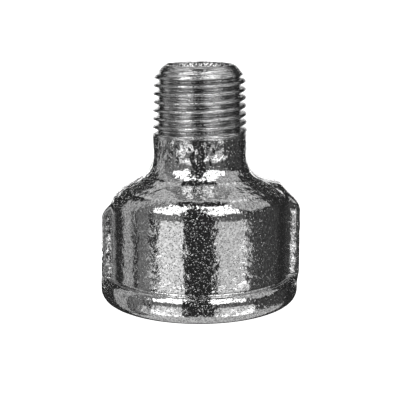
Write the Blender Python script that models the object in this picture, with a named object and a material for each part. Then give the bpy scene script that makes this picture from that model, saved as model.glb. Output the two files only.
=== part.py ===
"""Concentric reducer: a one-piece malleable iron reducing socket, female 1 inch below and male 1/2 inch above.

The casting is one closed skin. Its cross-section is followed as a loop: up the outside, over the male end and back
down through the bore. Each point of the loop is a row that runs once round the axis, and in the two threads the rows
climb one pitch in that turn. Origin at the centre of the socket's mouth, +Z towards the male end.
"""

import collections
import math

import bmesh
import bpy

MM = 0.001
INCH = 25.4 * MM

# Overall
HEIGHT = 52.9 * MM

# Socket: collar at the mouth, plain wall above it, sloping shoulder up to the neck
COLLAR_RADIUS = 22.3 * MM
COLLAR_EDGE_ROUND = 2.3 * MM
COLLAR_SIDE_Z = 4.9 * MM
COLLAR_SIDE_ROUND = 3.2 * MM
COLLAR_TOP_RADIUS = 21.3 * MM
COLLAR_TOP_ROUND = 0.5 * MM
WALL_RADIUS = 20.2 * MM
WALL_BASE_Z = 6.0 * MM
WALL_BASE_ROUND = 0.2 * MM
SHOULDER_BASE_Z = 24.9 * MM
SHOULDER_ROUND = 4.9 * MM
SHOULDER_TOP_Z = 29.2 * MM
NECK_RADIUS = 10.65 * MM
NECK_ROUND = 5.5 * MM

# Two grip ribs on the X axis. Each runs up from the collar, slopes in at its top and fades out on the shoulder.
Rib = collections.namedtuple("Rib", "angle radius top_z top_round bend_radius bend_z")
RIBS = (
    Rib(0, 22.7 * MM, 21.8 * MM, 3.0 * MM, 18.3 * MM, 26.4 * MM),
    Rib(180, 22.15 * MM, 20.4 * MM, 2.4 * MM, 18.7 * MM, 24.6 * MM),
)
RIB_FOOT_Z = 3.8 * MM
RIB_BEND_ROUND = 2.0 * MM
RIB_END_RADIUS = 15.5 * MM
RIB_EDGE_ANGLE = 10.0  # degrees from the rib's middle to where its flank starts
RIB_FOOT_ANGLE = 17.0  # and to where the flank's foot meets the wall

# Male end: R 1/2, 14 threads per inch on a taper of 1 in 16
MALE_PITCH = INCH / 14
MALE_GAUGE_DIAMETER = 20.955 * MM
MALE_GAUGE_LENGTH = 8.2 * MM
MALE_TAPER = 1 / 16
MALE_LENGTH = 15.45 * MM
MALE_RUNOUT = 1.2 * MM
MALE_START_ANGLE = 180
NOSE_LENGTH = 2.8 * MM
NOSE_POWER = 0.7
NOSE_FACE_RADIUS = 7.6 * MM

# Female end: Rp 1, 11 threads per inch, parallel
FEMALE_PITCH = INCH / 11
FEMALE_MINOR_RADIUS = 30.291 / 2 * MM
FEMALE_LENGTH = 18.5 * MM
FEMALE_RUNOUT = 2.4 * MM
MOUTH_CHAMFER_RADIUS = 17.4 * MM

# Waterway between the threads
BORE_RADIUS = 6.8 * MM
BORE_CHAMFER = 0.4 * MM
CHAMBER_RADIUS = 14.6 * MM
CHAMBER_TOP_Z = 21.2 * MM
CHAMBER_ROUND = 2.5 * MM
THROAT_Z = 25.6 * MM
THROAT_ROUND = 3.0 * MM

# Whitworth thread form: depth over pitch, and how much of the pitch the flat crest takes
THREAD_DEPTH = 0.6403
CREST_SHARE = 0.16

# Columns, in degrees from a rib's middle to 90 degrees from it. They crowd where the rib's flank is.
QUARTER_COLUMNS = (0, 5, 10, 11.8, 13.5, 15.2, 17, 23.5, 30, 37.5, 45, 52.5, 60, 67.5, 75, 82.5, 90)
CLOSEST_ROWS = 0.12 * MM  # a thread row nearer than this to the end of its thread joins it
WELD = 1e-6

IRON_COLOUR = (0.42, 0.42, 0.43, 1.0)
IRON_ROUGHNESS = 0.32


def smooth(t):
    """0 to 1 with level ends, for t from 0 to 1."""
    t = min(1.0, max(0.0, t))
    return t * t * (3 - 2 * t)


def rounded(corners, arc_steps=4):
    """The outline through (radius, z, rounding) corners, each rounded by an arc that touches both of its sides."""
    points = []
    for index, (radius, z, rounding) in enumerate(corners):
        if rounding == 0:
            points.append((radius, z))
            continue
        before, after = corners[index - 1], corners[index + 1]
        inward = (before[0] - radius, before[1] - z)
        outward = (after[0] - radius, after[1] - z)
        inward_length, outward_length = math.hypot(*inward), math.hypot(*outward)
        u = (inward[0] / inward_length, inward[1] / inward_length)
        v = (outward[0] / outward_length, outward[1] / outward_length)
        half = math.acos(max(-1.0, min(1.0, u[0] * v[0] + u[1] * v[1]))) / 2
        reach = rounding / math.tan(half)
        middle = (u[0] + v[0], u[1] + v[1])
        centre_distance = rounding / math.sin(half) / math.hypot(*middle)
        centre = (radius + middle[0] * centre_distance, z + middle[1] * centre_distance)
        start = (radius + u[0] * reach, z + u[1] * reach)
        first = math.atan2(start[1] - centre[1], start[0] - centre[0])
        sweep = math.pi - 2 * half
        if u[0] * v[1] - u[1] * v[0] > 0:
            sweep = -sweep
        for step in range(arc_steps + 1):
            angle = first + sweep * step / arc_steps
            points.append((centre[0] + rounding * math.cos(angle), centre[1] + rounding * math.sin(angle)))
    return points


def radius_at(outline, z):
    """The radius of an outline, listed from the bottom up, at height z. It is 0 above the outline's end."""
    for (low_radius, low_z), (high_radius, high_z) in zip(outline, outline[1:]):
        if low_z <= z <= high_z and high_z > low_z:
            return low_radius + (high_radius - low_radius) * (z - low_z) / (high_z - low_z)
    return 0.0


def with_heights(outline, heights):
    """The same outline, listed from the bottom up, with a point added at each of these heights."""
    added = [(radius_at(outline, z), z) for z in heights]
    return sorted(outline + added, key=lambda point: point[1])


def casting_outline():
    """Outside of the casting, from the mouth's inner edge up to where the male thread starts."""
    return rounded([
        (MOUTH_CHAMFER_RADIUS, 0, 0),
        (COLLAR_RADIUS, 0, COLLAR_EDGE_ROUND),
        (COLLAR_RADIUS, COLLAR_SIDE_Z, COLLAR_SIDE_ROUND),
        (COLLAR_TOP_RADIUS, WALL_BASE_Z, COLLAR_TOP_ROUND),
        (WALL_RADIUS, WALL_BASE_Z, WALL_BASE_ROUND),
        (WALL_RADIUS, (WALL_BASE_Z + SHOULDER_BASE_Z) / 2, 0),
        (WALL_RADIUS, SHOULDER_BASE_Z, SHOULDER_ROUND),
        (NECK_RADIUS, SHOULDER_TOP_Z, NECK_ROUND),
        (NECK_RADIUS, HEIGHT - MALE_LENGTH, 0),
    ])


def rib_outline(rib):
    """Outer edge of a grip rib, from the top of the collar to where it fades out on the shoulder."""
    shoulder_slope = (SHOULDER_TOP_Z - SHOULDER_BASE_Z) / (WALL_RADIUS - NECK_RADIUS)
    end_z = SHOULDER_BASE_Z + (WALL_RADIUS - RIB_END_RADIUS) * shoulder_slope
    return rounded([
        (COLLAR_RADIUS, RIB_FOOT_Z, 0),
        (rib.radius, WALL_BASE_Z + WALL_BASE_ROUND, 0),
        (rib.radius, rib.top_z, rib.top_round),
        (rib.bend_radius, rib.bend_z, RIB_BEND_ROUND),
        (RIB_END_RADIUS, end_z, 0),
    ])


def waterway_outline():
    """Inside of the casting, from the male end's face down to the top of the female thread."""
    return rounded([
        (BORE_RADIUS + BORE_CHAMFER, HEIGHT, 0),
        (BORE_RADIUS, HEIGHT - BORE_CHAMFER, 0),
        (BORE_RADIUS, (HEIGHT + THROAT_Z) / 2, 0),
        (BORE_RADIUS, THROAT_Z, THROAT_ROUND),
        (CHAMBER_RADIUS, CHAMBER_TOP_Z, CHAMBER_ROUND),
        (CHAMBER_RADIUS, FEMALE_LENGTH + 0.5 * MM, 0),
    ], arc_steps=3)


def rib_share(rib, angle):
    """1 on a rib's outer face, 0 on the plain wall, for an angle in degrees round the axis."""
    from_rib = abs((angle - rib.angle + 180) % 360 - 180)
    return 1 - smooth((from_rib - RIB_EDGE_ANGLE) / (RIB_FOOT_ANGLE - RIB_EDGE_ANGLE))


def outside(angle):
    """Outside of the casting at one angle, with the ribs, from the mouth up to the male thread."""
    ribs = [rib_outline(rib) for rib in RIBS]
    points = with_heights(casting_outline(), [z for outline in ribs for _, z in outline])
    for rib, outline in zip(RIBS, ribs):
        share = rib_share(rib, angle)
        points = [(r + max(0.0, radius_at(outline, z) - r) * share, z) for r, z in points]
    return points


def thread_rows(angle, pitch, low_z, high_z):
    """(z, depth share) of each thread row at one angle, from the bottom up. Depth is 0 on the crest, 1 at the root.

    Rows climb one pitch in a turn. Those past an end of the thread all lie on that end.
    """
    shares = (0.0, 0.0, 1.0)
    offsets = (0.0, CREST_SHARE, 0.5 + CREST_SHARE / 2)
    turns = math.ceil((high_z - low_z) / pitch) + 1
    rows = []
    for turn in range(-1, turns):
        for offset, share in zip(offsets, shares):
            z = low_z + (turn + offset + angle / 360) * pitch
            if z < low_z + CLOSEST_ROWS:
                z = low_z
            if z > high_z - CLOSEST_ROWS:
                z = high_z
            rows.append((z, share))
    return rows


def male_thread(angle):
    """Tapered outside thread, fading out at the neck and cut back by the rounded nose."""
    low_z = HEIGHT - MALE_LENGTH
    points = []
    for z, share in thread_rows(angle - MALE_START_ANGLE, MALE_PITCH, low_z, HEIGHT):
        fade = smooth((z - low_z) / MALE_RUNOUT)
        crest = (MALE_GAUGE_DIAMETER + (HEIGHT - MALE_GAUGE_LENGTH - z) * MALE_TAPER) / 2
        crest = NECK_RADIUS + (crest - NECK_RADIUS) * fade
        radius = crest - share * THREAD_DEPTH * MALE_PITCH * fade
        if z > HEIGHT - NOSE_LENGTH:
            back = ((HEIGHT - z) / NOSE_LENGTH) ** NOSE_POWER
            radius = min(radius, NOSE_FACE_RADIUS + (crest - NOSE_FACE_RADIUS) * back)
        points.append((radius, z))
    return points


def female_thread(angle):
    """Parallel inside thread from the chamfered mouth up to its runout, listed from the top down."""
    points = []
    for z, share in thread_rows(angle, FEMALE_PITCH, 0.0, FEMALE_LENGTH):
        fade = smooth((FEMALE_LENGTH - z) / FEMALE_RUNOUT)
        radius = FEMALE_MINOR_RADIUS + share * THREAD_DEPTH * FEMALE_PITCH * fade
        points.append((max(radius, MOUTH_CHAMFER_RADIUS - z), z))
    return points[::-1]


def columns():
    """Column angles in degrees for one full turn, with the first angle again at the end."""
    angles = set()
    for quarter in range(4):
        for step in QUARTER_COLUMNS:
            mirrored = quarter % 2
            angles.add(quarter * 90 + ((90 - step) % 360 if mirrored else step))
    return [*sorted(angle % 360 for angle in angles), 360]


def casting_skin():
    """The closed skin of the casting: rows of the section's loop, one set for each column round the axis."""
    skin = bmesh.new()
    grid = []
    for angle in columns():
        # The loop closes by itself: the first and last rows share the mouth's edge.
        section = outside(angle) + male_thread(angle) + waterway_outline() + female_thread(angle)
        turned = math.radians(angle)
        grid.append([skin.verts.new((r * math.cos(turned), r * math.sin(turned), z)) for r, z in section])
    for left, right in zip(grid, grid[1:]):
        for row in range(len(left)):
            above = (row + 1) % len(left)
            skin.faces.new((left[row], right[row], right[above], left[above]))
    bmesh.ops.remove_doubles(skin, verts=skin.verts, dist=WELD)
    bmesh.ops.triangulate(skin, faces=skin.faces)
    return skin


def iron():
    """Galvanised malleable iron."""
    material = bpy.data.materials.new("galvanised_iron")
    material.use_nodes = True
    shader = material.node_tree.nodes["Principled BSDF"]
    shader.inputs["Base Color"].default_value = IRON_COLOUR
    shader.inputs["Metallic"].default_value = 1.0
    shader.inputs["Roughness"].default_value = IRON_ROUGHNESS
    return material


def make_casting():
    """The whole reducer, which is one casting."""
    skin = casting_skin()
    mesh = bpy.data.meshes.new("reducer_casting")
    skin.to_mesh(mesh)
    skin.free()
    mesh.materials.append(iron())
    mesh.shade_smooth()
    mesh.set_sharp_from_angle(angle=math.radians(25))
    casting = bpy.data.objects.new("reducer_casting", mesh)
    bpy.context.collection.objects.link(casting)
    return casting


def main():
    for leftover in list(bpy.data.objects):
        bpy.data.objects.remove(leftover)
    make_casting()


main()
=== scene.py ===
"""Looks of the concentric reducer: a galvanised iron reducing socket with a hammered skin and cut threads.

The casting is one closed mesh that stands for the CAD casting. Its section is followed as a loop, up the
outside, over the male end and down through the bore, and each point of the loop is a row that runs once round
the axis. In the threads the rows climb one pitch in that turn. All sizes are in metres.
"""

import collections
import math

import bmesh
import bpy
import numpy as np
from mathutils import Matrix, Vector, noise


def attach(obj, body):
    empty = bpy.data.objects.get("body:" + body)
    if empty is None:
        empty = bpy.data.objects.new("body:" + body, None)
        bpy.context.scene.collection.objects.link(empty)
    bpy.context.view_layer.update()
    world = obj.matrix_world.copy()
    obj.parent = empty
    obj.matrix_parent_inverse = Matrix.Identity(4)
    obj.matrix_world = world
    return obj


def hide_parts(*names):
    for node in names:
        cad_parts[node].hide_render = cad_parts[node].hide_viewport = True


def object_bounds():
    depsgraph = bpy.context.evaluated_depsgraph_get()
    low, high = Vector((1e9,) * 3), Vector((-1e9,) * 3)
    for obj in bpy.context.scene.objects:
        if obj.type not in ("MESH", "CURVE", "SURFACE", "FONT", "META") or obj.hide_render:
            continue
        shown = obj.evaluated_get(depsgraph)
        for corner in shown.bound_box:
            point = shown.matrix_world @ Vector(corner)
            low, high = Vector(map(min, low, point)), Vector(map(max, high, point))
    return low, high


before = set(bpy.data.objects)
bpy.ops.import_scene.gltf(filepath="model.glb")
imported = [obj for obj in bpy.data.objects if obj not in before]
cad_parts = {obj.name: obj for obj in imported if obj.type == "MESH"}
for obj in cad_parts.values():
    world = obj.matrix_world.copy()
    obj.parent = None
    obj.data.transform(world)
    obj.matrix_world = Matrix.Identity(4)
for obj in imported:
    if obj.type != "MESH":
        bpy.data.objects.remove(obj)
CAD_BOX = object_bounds()

MM = 0.001
INCH = 25.4 * MM

# Overall, from the frame
HEIGHT = CAD_BOX[1][2] - CAD_BOX[0][2]

# Socket: collar at the mouth, plain wall above it, sloping shoulder up to the neck
COLLAR_RADIUS = 22.3 * MM
COLLAR_EDGE_ROUND = 2.3 * MM
COLLAR_SIDE_Z = 4.9 * MM
COLLAR_SIDE_ROUND = 3.2 * MM
COLLAR_TOP_RADIUS = 21.3 * MM
COLLAR_TOP_ROUND = 0.5 * MM
WALL_RADIUS = 20.2 * MM
WALL_BASE_Z = 6.0 * MM
WALL_BASE_ROUND = 0.2 * MM
SHOULDER_BASE_Z = 24.9 * MM
SHOULDER_ROUND = 4.9 * MM
SHOULDER_TOP_Z = 29.2 * MM
NECK_RADIUS = 10.65 * MM
NECK_ROUND = 5.5 * MM

# Two grip ribs on the X axis. Each rises from the collar, slopes in at its top and fades out on the shoulder.
Rib = collections.namedtuple("Rib", "angle radius top_z top_round bend_radius bend_z")
RIBS = (
    Rib(0, 22.7 * MM, 21.8 * MM, 3.0 * MM, 18.3 * MM, 26.4 * MM),
    Rib(180, 22.15 * MM, 20.4 * MM, 2.4 * MM, 18.7 * MM, 24.6 * MM),
)
RIB_FOOT_Z = 3.8 * MM  # where a rib's outer edge leaves the collar's side
RIB_BEND_ROUND = 2.0 * MM
RIB_END_RADIUS = 15.5 * MM
RIB_EDGE_ANGLE = 10.0  # degrees from the rib's middle to where its flank starts
RIB_FOOT_ANGLE = 17.0  # and to where the flank's foot meets the wall

# Male end: R 1/2, 14 threads per inch on a taper of 1 in 16
MALE_PITCH = INCH / 14
MALE_GAUGE_DIAMETER = 20.955 * MM
MALE_GAUGE_LENGTH = 8.2 * MM
MALE_TAPER = 1 / 16
MALE_LENGTH = 15.45 * MM
MALE_RUNOUT = 1.2 * MM
MALE_START_ANGLE = 180  # degrees round the axis to where the lowest crest starts
NOSE_LENGTH = 2.8 * MM
NOSE_POWER = 0.7  # 1 is a plain cone, less is rounder
NOSE_FACE_RADIUS = 7.6 * MM
ROUGH_NOSE = 0.8 * MM  # this much of the nose is as cast

# Female end: Rp 1, 11 threads per inch, parallel
FEMALE_PITCH = INCH / 11
FEMALE_MINOR_RADIUS = 30.291 / 2 * MM
FEMALE_LENGTH = 18.5 * MM
FEMALE_RUNOUT = 2.4 * MM
MOUTH_CHAMFER_RADIUS = 17.4 * MM

# Waterway between the threads
CHAMBER_BASE_Z = FEMALE_LENGTH + 0.5 * MM
BORE_RADIUS = 6.8 * MM
BORE_CHAMFER = 0.4 * MM
CHAMBER_RADIUS = 14.6 * MM
CHAMBER_TOP_Z = 21.2 * MM
CHAMBER_ROUND = 2.5 * MM
THROAT_Z = 25.6 * MM
THROAT_ROUND = 3.0 * MM

# Whitworth thread form: depth over pitch, and how much of the pitch the crest and the root take
THREAD_DEPTH = 0.6403
CREST_SHARE = 0.16
MALE_ROWS_PER_PITCH = 10
FEMALE_ROWS_PER_PITCH = 8

# Mesh: columns round the axis, how far apart its rows are, and how close two points are to become one
COLUMNS = 336
SKIN_SPACING = 0.43 * MM
BORE_SPACING = 1.2 * MM
ARC_STEPS = 12
WELD = 0.001 * MM

# Material slots of the mesh
SKIN, CUT, BORE = 0, 1, 2

# Turning lines of the threads: how much finer or coarser their noise is along each axis
LINE_STRETCH = (0.25, 0.25, 3.0)

# Relief of the cast surfaces, made in the mesh: (wavelength, height)
SKIN_RELIEF = ((6.0 * MM, 0.05 * MM), (2.2 * MM, 0.035 * MM), (1.0 * MM, 0.016 * MM))
SHOULDER_RELIEF = ((2.0 * MM, 0.05 * MM), (1.1 * MM, 0.05 * MM))
RIB_RELIEF = ((1.6 * MM, 0.08 * MM), (0.9 * MM, 0.06 * MM))
NECK_RELIEF = ((1.4 * MM, 0.13 * MM), (0.8 * MM, 0.10 * MM))
BORE_RELIEF = ((2.0 * MM, 0.10 * MM), (0.9 * MM, 0.05 * MM))
LEVEL_FOOT = 1.0 * MM  # the relief fades in over this height, so that the mouth's face stays level
RIB_MARGIN = 0.5 * MM  # points this far outside the wall are on a rib

# Where the rougher stretches start and end, and over how much they fade out
SHOULDER_BAND = (25.0 * MM, 36.0 * MM, 2.0 * MM)
NECK_BAND = (32.3 * MM, 37.2 * MM, 0.6 * MM)
NECK_PATCH_ANGLES = (-0.9, 0.9, 0.2)  # radians from the front

# Camera, round the object's axis
VIEW_DISTANCE = 230.0 * MM
VIEW_HEIGHT = 71.3 * MM
VIEW_SIDE = 0.18 * MM
VIEW_TURN = 4.4  # degrees from the front, -Y, towards -X
VIEW_PITCH = 12.0  # degrees that it looks down
LENS = 93.87  # millimetres, as the sensor's width
SENSOR = 36.0
CLIP_START = 10.0 * MM

# Studio: a white room, dim air and soft rectangular lights
ROOM_SIZE = 3.0
FLOOR_GAP = 0.05 * MM
AIR_GREY = 0.03
LIGHT_DISTANCE = 2.0
LEAST_LEVEL_SHARE = 0.3  # keeps the lights that hang near the axis from being too narrow
WATTS_PER_RADIANCE = 4.0  # for each square metre of a light

# Each light fills these angles as the object sees them: azimuth from the camera's side, to its right, and
# elevation from level, both in degrees.
Softbox = collections.namedtuple("Softbox", "name azimuths elevations radiance")
SOFTBOXES = (
    Softbox("left_table", (-52, -19), (-21, -4), 0.84),
    Softbox("left_near", (-56, -19), (-30, -21), 1.4),
    Softbox("left_gap", (-58, -20), (-4, 24), 0.15),
    Softbox("left_box", (-60, -21), (24, 46), 2.2),
    Softbox("left_box_top", (-60, -21), (46, 69), 2.2),
    Softbox("right_table", (21, 62), (-21, -7), 0.63),
    Softbox("right_near", (18, 66), (-30, -21), 1.3),
    Softbox("right_gap", (18, 60), (-7, 24), 0.09),
    Softbox("right_box", (13, 58), (24, 46), 1.9),
    Softbox("right_box_top", (16, 58), (46, 69), 1.9),
    Softbox("left_wall", (-86, -62), (-40, 70), 0.15),
    Softbox("left_screen", (-114, -90), (-40, 70), 0.38),
    Softbox("right_wall", (64, 118), (-22, 12), 0.03),
    Softbox("right_high", (64, 120), (20, 70), 0.45),
    Softbox("right_low", (70, 120), (-50, -22), 0.45),
    Softbox("back_left", (180, 216), (-15, 16), 1.6),
    Softbox("back_right", (152, 180), (-15, 11), 1.1),
    Softbox("back_high", (130, 230), (44, 80), 0.54),
    Softbox("under_front", (-70, 70), (-62, -30), 0.5),
    Softbox("under", (-72, 72), (-118, -62), 0.5),
)


def smooth(t):
    """0 to 1 with level ends, for t from 0 to 1."""
    t = min(1.0, max(0.0, t))
    return t * t * (3 - 2 * t)


def between(value, low, high, fade):
    """1 from low to high, fading to 0 on both sides of that."""
    return smooth((value - low) / fade + 1) * smooth((high - value) / fade + 1)


def rounded(corners):
    """The outline through (radius, z, rounding) corners, each rounded by an arc that touches both sides."""
    points = []
    for index, (radius, z, rounding) in enumerate(corners):
        if rounding == 0:
            points.append((radius, z))
            continue
        before, after = corners[index - 1], corners[index + 1]
        inward = (before[0] - radius, before[1] - z)
        outward = (after[0] - radius, after[1] - z)
        inward_length, outward_length = math.hypot(*inward), math.hypot(*outward)
        u = (inward[0] / inward_length, inward[1] / inward_length)
        v = (outward[0] / outward_length, outward[1] / outward_length)
        half = math.acos(max(-1.0, min(1.0, u[0] * v[0] + u[1] * v[1]))) / 2
        reach = rounding / math.tan(half)
        middle = (u[0] + v[0], u[1] + v[1])
        centre_distance = rounding / math.sin(half) / math.hypot(*middle)
        centre = (radius + middle[0] * centre_distance, z + middle[1] * centre_distance)
        start = (radius + u[0] * reach, z + u[1] * reach)
        first = math.atan2(start[1] - centre[1], start[0] - centre[0])
        sweep = math.pi - 2 * half
        if u[0] * v[1] - u[1] * v[0] > 0:
            sweep = -sweep
        for step in range(ARC_STEPS + 1):
            angle = first + sweep * step / ARC_STEPS
            points.append((centre[0] + rounding * math.cos(angle), centre[1] + rounding * math.sin(angle)))
    return points


def spaced(outline, spacing):
    """The same outline with its points evenly spaced along it."""
    points = np.array(outline)
    steps = np.hypot(*np.diff(points, axis=0).T)
    along = np.concatenate([[0], np.cumsum(steps)])
    count = max(1, round(along[-1] / spacing))
    at = np.linspace(0, along[-1], count + 1)
    return list(zip(np.interp(at, along, points[:, 0]), np.interp(at, along, points[:, 1])))


def casting_outline():
    """Outside of the casting, from the mouth's inner edge up to where the male thread starts."""
    return rounded([
        (MOUTH_CHAMFER_RADIUS, 0, 0),
        (COLLAR_RADIUS, 0, COLLAR_EDGE_ROUND),
        (COLLAR_RADIUS, COLLAR_SIDE_Z, COLLAR_SIDE_ROUND),
        (COLLAR_TOP_RADIUS, WALL_BASE_Z, COLLAR_TOP_ROUND),
        (WALL_RADIUS, WALL_BASE_Z, WALL_BASE_ROUND),
        (WALL_RADIUS, SHOULDER_BASE_Z, SHOULDER_ROUND),
        (NECK_RADIUS, SHOULDER_TOP_Z, NECK_ROUND),
        (NECK_RADIUS, HEIGHT - MALE_LENGTH, 0),
    ])


def rib_outline(rib):
    """Outer edge of a grip rib, from the collar's side to where it fades out on the shoulder."""
    shoulder_slope = (SHOULDER_TOP_Z - SHOULDER_BASE_Z) / (WALL_RADIUS - NECK_RADIUS)
    end_z = SHOULDER_BASE_Z + (WALL_RADIUS - RIB_END_RADIUS) * shoulder_slope
    return rounded([
        (COLLAR_RADIUS, RIB_FOOT_Z, 0),
        (rib.radius, WALL_BASE_Z + WALL_BASE_ROUND, 0),
        (rib.radius, rib.top_z, rib.top_round),
        (rib.bend_radius, rib.bend_z, RIB_BEND_ROUND),
        (RIB_END_RADIUS, end_z, 0),
    ])


def waterway_outline():
    """Inside of the casting, from the male end's face down to the top of the female thread."""
    return rounded([
        (BORE_RADIUS + BORE_CHAMFER, HEIGHT, 0),
        (BORE_RADIUS, HEIGHT - BORE_CHAMFER, 0),
        (BORE_RADIUS, THROAT_Z, THROAT_ROUND),
        (CHAMBER_RADIUS, CHAMBER_TOP_Z, CHAMBER_ROUND),
        (CHAMBER_RADIUS, CHAMBER_BASE_Z, 0),
    ])


def rib_share(rib, angle):
    """1 on a rib's outer face, 0 on the plain wall, for an angle in degrees round the axis."""
    from_rib = abs((angle - rib.angle + 180) % 360 - 180)
    return 1 - smooth((from_rib - RIB_EDGE_ANGLE) / (RIB_FOOT_ANGLE - RIB_EDGE_ANGLE))


def outside(angle, casting, ribs):
    """Outside of the casting at one angle, with the ribs, as (radius, z) rows."""
    radii, heights = casting
    for rib, (rib_radii, rib_heights) in zip(RIBS, ribs):
        share = rib_share(rib, angle)
        if share > 0:
            reach = np.interp(heights, rib_heights, rib_radii, left=0, right=0) - radii
            radii = radii + np.maximum(0, reach) * share
    return np.stack([radii, heights], axis=1)


def thread_form(phase):
    """Depth share of a thread at a phase from 0 to 1: 0 on the crest, 1 at the root, with rounded edges."""
    from_crest = abs((phase - CREST_SHARE / 2 + 0.5) % 1 - 0.5)
    return smooth((from_crest - CREST_SHARE / 2) / (0.5 - CREST_SHARE))


def thread_rows(angle, pitch, low_z, high_z, rows_per_pitch):
    """(z, depth share) of each thread row at one angle, from the bottom up.

    Rows climb one pitch in a turn. Those past an end of the thread all lie on that end.
    """
    turns = math.ceil((high_z - low_z) / pitch) + 1
    rows = []
    for row in range(-rows_per_pitch, turns * rows_per_pitch):
        z = low_z + (row / rows_per_pitch + angle / 360) * pitch
        rows.append((min(high_z, max(low_z, z)), thread_form(row / rows_per_pitch)))
    return rows


def male_thread(angle):
    """Tapered outside thread, fading out at the neck and cut back by the rounded nose."""
    low_z = HEIGHT - MALE_LENGTH
    points = []
    for z, share in thread_rows(angle - MALE_START_ANGLE, MALE_PITCH, low_z, HEIGHT, MALE_ROWS_PER_PITCH):
        fade = smooth((z - low_z) / MALE_RUNOUT)
        crest = (MALE_GAUGE_DIAMETER + (HEIGHT - MALE_GAUGE_LENGTH - z) * MALE_TAPER) / 2
        crest = NECK_RADIUS + (crest - NECK_RADIUS) * fade
        radius = crest - share * THREAD_DEPTH * MALE_PITCH * fade
        if z > HEIGHT - NOSE_LENGTH:
            back = ((HEIGHT - z) / NOSE_LENGTH) ** NOSE_POWER
            radius = min(radius, NOSE_FACE_RADIUS + (crest - NOSE_FACE_RADIUS) * back)
        points.append((radius, z))
    return np.array(points)


def female_thread(angle):
    """Parallel inside thread from the chamfered mouth up to its runout, listed from the top down."""
    points = []
    for z, share in thread_rows(angle, FEMALE_PITCH, 0.0, FEMALE_LENGTH, FEMALE_ROWS_PER_PITCH):
        fade = smooth((FEMALE_LENGTH - z) / FEMALE_RUNOUT)
        radius = FEMALE_MINOR_RADIUS + share * THREAD_DEPTH * FEMALE_PITCH * fade
        points.append((max(radius, MOUTH_CHAMFER_RADIUS - z), z))
    return np.array(points[::-1])


def relief(point, waves):
    """Height of a rough surface at a point: one noise for each (wavelength, height)."""
    return sum(height * noise.noise(point / wavelength) for wavelength, height in waves)


def loop_sections():
    """The section at every column, as an array of (column, row, radius and z), and each row's slot."""
    casting = np.array(spaced(casting_outline(), SKIN_SPACING)).T
    ribs = [np.array(rib_outline(rib)).T for rib in RIBS]
    waterway = np.array(spaced(waterway_outline(), BORE_SPACING))
    columns = []
    for column in range(COLUMNS + 1):
        angle = 360 * column / COLUMNS
        stretches = [outside(angle, casting, ribs), male_thread(angle), waterway, female_thread(angle)]
        columns.append(np.concatenate(stretches))
    columns = np.array(columns)
    slots = np.repeat((SKIN, CUT, BORE, CUT), [len(rows) for rows in stretches])
    slots[columns[:, :, 1].min(axis=0) > HEIGHT - ROUGH_NOSE] = BORE
    return columns, slots


def make_casting():
    """The whole casting as one closed mesh."""
    sections, row_slots = loop_sections()
    column_count, row_count = sections.shape[:2]
    angles = np.radians(360 * np.arange(column_count) / COLUMNS)[:, None]
    radii, heights = sections[..., 0], sections[..., 1]
    points = np.stack([radii * np.cos(angles), radii * np.sin(angles), heights], axis=-1)
    index = np.arange(column_count * row_count).reshape(column_count, row_count)
    above = np.roll(index, -1, axis=1)
    quads = np.stack([index[:-1], index[1:], above[1:], above[:-1]], axis=-1).reshape(-1, 4)
    mesh = bpy.data.meshes.new("reducer_skin")
    mesh.from_pydata(points.reshape(-1, 3), [], quads)
    mesh.polygons.foreach_set("material_index", np.tile(row_slots, column_count - 1))
    casting = bpy.data.objects.new("reducer_body", mesh)
    bpy.context.collection.objects.link(casting)
    weld_mesh(mesh)
    roughen(mesh)
    return casting


def weld_mesh(mesh):
    """Joins the points that coincide, and drops the faces that this flattens."""
    skin = bmesh.new()
    skin.from_mesh(mesh)
    bmesh.ops.remove_doubles(skin, verts=skin.verts, dist=WELD)
    skin.to_mesh(mesh)
    skin.free()


def skin_relief(point):
    """Height of the cast skin's relief at a point: rougher on the ribs, the shoulder and the neck's front."""
    height = relief(point, SKIN_RELIEF) * smooth(point.z / LEVEL_FOOT)
    on_rib = math.hypot(point.x, point.y) > WALL_RADIUS + RIB_MARGIN
    if on_rib and point.z > WALL_BASE_Z + RIB_MARGIN:
        height += relief(point, RIB_RELIEF)
    height += relief(point, SHOULDER_RELIEF) * between(point.z, *SHOULDER_BAND)
    front = between(math.atan2(point.x, -point.y), *NECK_PATCH_ANGLES)
    return height + relief(point, NECK_RELIEF) * between(point.z, *NECK_BAND) * front


def roughen(mesh):
    """Moves the points of the cast surfaces along their normals, by the relief of a sand-cast skin."""
    count = len(mesh.vertices)
    places, normals = np.empty(count * 3), np.empty(count * 3)
    mesh.vertices.foreach_get("co", places)
    mesh.vertices.foreach_get("normal", normals)
    places, normals = places.reshape(-1, 3), normals.reshape(-1, 3)
    touches = {slot: np.zeros(count, bool) for slot in (SKIN, CUT, BORE)}
    for face in mesh.polygons:
        touches[face.material_index][list(face.vertices)] = True
    for index in np.flatnonzero(~touches[CUT]):
        point = Vector(places[index])
        height = relief(point, BORE_RELIEF) if touches[BORE][index] else skin_relief(point)
        places[index] += normals[index] * height
    mesh.vertices.foreach_set("co", places.ravel())
    mesh.update()


# Materials


def shader_nodes(material):
    """The material's nodes, its links and its shader."""
    material.use_nodes = True
    nodes, links = material.node_tree.nodes, material.node_tree.links
    return nodes, links, nodes["Principled BSDF"]


def metal(name):
    """A new metal, with its nodes, its links, its shader and the socket that gives a point's place."""
    material = bpy.data.materials.new(name)
    nodes, links, shader = shader_nodes(material)
    shader.inputs["Metallic"].default_value = 1.0
    return material, nodes, links, shader, position_mm(nodes, links)


def position_mm(nodes, links):
    """Socket with the point's place on the object, in millimetres."""
    place = nodes.new("ShaderNodeTexCoord")
    scale = nodes.new("ShaderNodeVectorMath")
    scale.operation = "SCALE"
    scale.inputs["Scale"].default_value = 1 / MM
    links.new(place.outputs["Object"], scale.inputs[0])
    return scale.outputs[0]


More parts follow.
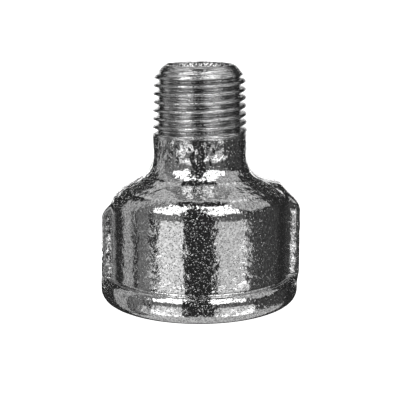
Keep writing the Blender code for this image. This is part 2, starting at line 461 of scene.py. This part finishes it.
def noise_texture(nodes, links, place, per_mm, detail):
    """Noise from 0 to 1, of that many waves per mm, with that many finer layers."""
    texture = nodes.new("ShaderNodeTexNoise")
    texture.inputs["Scale"].default_value = per_mm
    texture.inputs["Detail"].default_value = detail
    links.new(place, texture.inputs["Vector"])
    return texture.outputs["Fac"]


def mapped(nodes, links, value, from_range, to_range):
    """The value stretched from one range to another, and kept inside it."""
    remap = nodes.new("ShaderNodeMapRange")
    remap.interpolation_type = "SMOOTHSTEP"
    remap.inputs["From Min"].default_value, remap.inputs["From Max"].default_value = from_range
    remap.inputs["To Min"].default_value, remap.inputs["To Max"].default_value = to_range
    links.new(value, remap.inputs["Value"])
    return remap.outputs["Result"]


def bump(nodes, links, height, distance, under=None):
    """A bump of that height, in metres, on top of the normal of another one."""
    node = nodes.new("ShaderNodeBump")
    node.inputs["Distance"].default_value = distance
    links.new(height, node.inputs["Height"])
    if under is not None:
        links.new(under, node.inputs["Normal"])
    return node.outputs["Normal"]


def pits(nodes, links, place, per_mm, reach):
    """Scattered round pits: 1 in the middle of a pit, 0 outside it. The reach is a share of a cell's size."""
    cells = nodes.new("ShaderNodeTexVoronoi")
    cells.inputs["Scale"].default_value = per_mm
    links.new(place, cells.inputs["Vector"])
    return mapped(nodes, links, cells.outputs["Distance"], from_range=(0, reach), to_range=(1, 0))


def mixed(nodes, links, share, first, second):
    """Colour between two others, each a grey level or a colour socket."""
    mix = nodes.new("ShaderNodeMixRGB")
    links.new(share, mix.inputs["Fac"])
    for colour, socket in ((first, mix.inputs["Color1"]), (second, mix.inputs["Color2"])):
        if isinstance(colour, float):
            socket.default_value = (colour, colour, colour, 1)
        else:
            links.new(colour, socket)
    return mix.outputs["Color"]


def cast_zinc():
    """Galvanised cast skin: neutral grey and glossy, with a hammered grain, small pits, and pinholes painted
    near-black as painted shade.
    """
    material, nodes, links, shader, place = metal("cast_zinc")
    mottle = noise_texture(nodes, links, place, per_mm=2.0, detail=3)
    tone = mapped(nodes, links, mottle, from_range=(0.36, 0.64), to_range=(0, 1))
    colour = mixed(nodes, links, tone, 0.46, 0.74)
    # Pinholes: near-black spots in the base colour, painted shade that stands in for the dark insides of
    # small pits
    pinhole_shade = pits(nodes, links, place, per_mm=2.5, reach=0.44)
    links.new(mixed(nodes, links, pinhole_shade, colour, 0.06), shader.inputs["Base Color"])
    clouds = noise_texture(nodes, links, place, per_mm=1.1, detail=3)
    haze = mapped(nodes, links, clouds, from_range=(0.3, 0.7), to_range=(0.06, 0.12))
    links.new(haze, shader.inputs["Roughness"])
    hammered = noise_texture(nodes, links, place, per_mm=0.9, detail=2)
    dents = pits(nodes, links, place, per_mm=1.7, reach=0.26)
    pimples = pits(nodes, links, place, per_mm=2.5, reach=0.31)
    normal = bump(nodes, links, hammered, 0.08 * MM)
    normal = bump(nodes, links, dents, 0.07 * MM, under=normal)
    normal = bump(nodes, links, pimples, -0.05 * MM, under=normal)
    links.new(normal, shader.inputs["Normal"])
    return material


def cut_zinc():
    """Cut threads under a thin zinc coat: smoother than the skin, with fine turning lines."""
    material, nodes, links, shader, place = metal("cut_zinc")
    stretched = nodes.new("ShaderNodeVectorMath")
    stretched.operation = "MULTIPLY"
    stretched.inputs[1].default_value = LINE_STRETCH
    links.new(place, stretched.inputs[0])
    lines = noise_texture(nodes, links, stretched.outputs[0], per_mm=1.6, detail=3)
    tone = mapped(nodes, links, lines, from_range=(0.35, 0.65), to_range=(0, 1))
    links.new(mixed(nodes, links, tone, 0.34, 0.80), shader.inputs["Base Color"])
    haze = mapped(nodes, links, lines, from_range=(0.3, 0.7), to_range=(0.12, 0.26))
    links.new(haze, shader.inputs["Roughness"])
    torn = noise_texture(nodes, links, place, per_mm=1.6, detail=2)
    normal = bump(nodes, links, lines, 0.10 * MM)
    normal = bump(nodes, links, torn, 0.06 * MM, under=normal)
    links.new(normal, shader.inputs["Normal"])
    return material


def bore_zinc():
    """Rough inside of the casting and the rough cast rim of its male end."""
    material, nodes, links, shader, place = metal("bore_zinc")
    speckle = noise_texture(nodes, links, place, per_mm=2.6, detail=3)
    tone = mapped(nodes, links, speckle, from_range=(0.42, 0.58), to_range=(0, 1))
    links.new(mixed(nodes, links, tone, 0.05, 0.9), shader.inputs["Base Color"])
    haze = mapped(nodes, links, tone, from_range=(0, 1), to_range=(0.35, 0.15))
    links.new(haze, shader.inputs["Roughness"])
    lumps = noise_texture(nodes, links, place, per_mm=2.0, detail=3)
    links.new(bump(nodes, links, lumps, 0.2 * MM), shader.inputs["Normal"])
    return material


# Studio


def camera_axes():
    """The camera's ground direction and the direction to its right."""
    turn = math.radians(VIEW_TURN)
    towards = Vector((-math.sin(turn), -math.cos(turn), 0))
    return towards, Vector((math.cos(turn), -math.sin(turn), 0))


def make_camera():
    """The camera, a little to the left of the front and looking down."""
    towards, right = camera_axes()
    data = bpy.data.cameras.new("camera")
    data.lens = LENS
    data.sensor_width = SENSOR
    data.clip_start = CLIP_START
    camera = bpy.data.objects.new("camera", data)
    camera.location = towards * VIEW_DISTANCE + right * VIEW_SIDE + Vector((0, 0, VIEW_HEIGHT))
    camera.rotation_euler = (math.radians(90 - VIEW_PITCH), 0, -math.radians(VIEW_TURN))
    bpy.context.collection.objects.link(camera)
    bpy.context.scene.camera = camera


def make_softbox(softbox):
    """One soft rectangular light, which faces the middle of the object."""
    towards, right = camera_axes()
    (left, rightmost), (low, high) = softbox.azimuths, softbox.elevations
    azimuth, elevation = math.radians(left + rightmost) / 2, math.radians(low + high) / 2
    level = towards * math.cos(azimuth) + right * math.sin(azimuth)
    direction = level * math.cos(elevation) + Vector((0, 0, math.sin(elevation)))
    data = bpy.data.lights.new(softbox.name, "AREA")
    data.shape = "RECTANGLE"
    level_share = max(LEAST_LEVEL_SHARE, math.cos(elevation))
    data.size = 2 * LIGHT_DISTANCE * math.tan(math.radians(rightmost - left) / 2) * level_share
    data.size_y = 2 * LIGHT_DISTANCE * math.tan(math.radians(high - low) / 2)
    data.energy = WATTS_PER_RADIANCE * data.size * data.size_y * softbox.radiance
    light = bpy.data.objects.new(softbox.name, data)
    light.location = direction * LIGHT_DISTANCE + Vector((0, 0, HEIGHT / 2))
    light.rotation_euler = direction.to_track_quat("Z", "Y").to_euler()
    light.visible_camera = False
    bpy.context.collection.objects.link(light)


def make_stage():
    """A plain white room round the object, which the metal doesn't mirror."""
    material = bpy.data.materials.new("white")
    nodes, links, shader = shader_nodes(material)
    shader.inputs["Emission Color"].default_value = (1, 1, 1, 1)
    shader.inputs["Emission Strength"].default_value = 1.0
    low, high, half = CAD_BOX[0][2] - FLOOR_GAP, ROOM_SIZE, ROOM_SIZE / 2
    corners = [(x * half, y * half, z) for z in (low, high) for x, y in ((-1, -1), (1, -1), (1, 1), (-1, 1))]
    sides = [(0, 1, 2, 3), (4, 5, 6, 7), (0, 1, 5, 4), (1, 2, 6, 5), (2, 3, 7, 6), (3, 0, 4, 7)]
    mesh = bpy.data.meshes.new("room")
    mesh.from_pydata(corners, [], sides)
    mesh.materials.append(material)
    room = bpy.data.objects.new("room", mesh)
    bpy.context.collection.objects.link(room)
    room.visible_glossy = False
    room.visible_diffuse = False
    room.visible_shadow = False


def make_world():
    """Dim, even light from everywhere else."""
    world = bpy.data.worlds.new("studio")
    world.use_nodes = True
    world.node_tree.nodes["Background"].inputs["Color"].default_value = (AIR_GREY, AIR_GREY, AIR_GREY, 1)
    bpy.context.scene.world = world


def main():
    """Makes the whole scene."""
    bpy.context.scene.view_settings.view_transform = "Standard"
    casting = make_casting()
    for material in (cast_zinc(), cut_zinc(), bore_zinc()):
        casting.data.materials.append(material)
    casting.data.shade_smooth()
    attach(casting, "root")
    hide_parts("reducer_casting")
    make_camera()
    for softbox in SOFTBOXES:
        make_softbox(softbox)
    make_stage()
    make_world()


main()
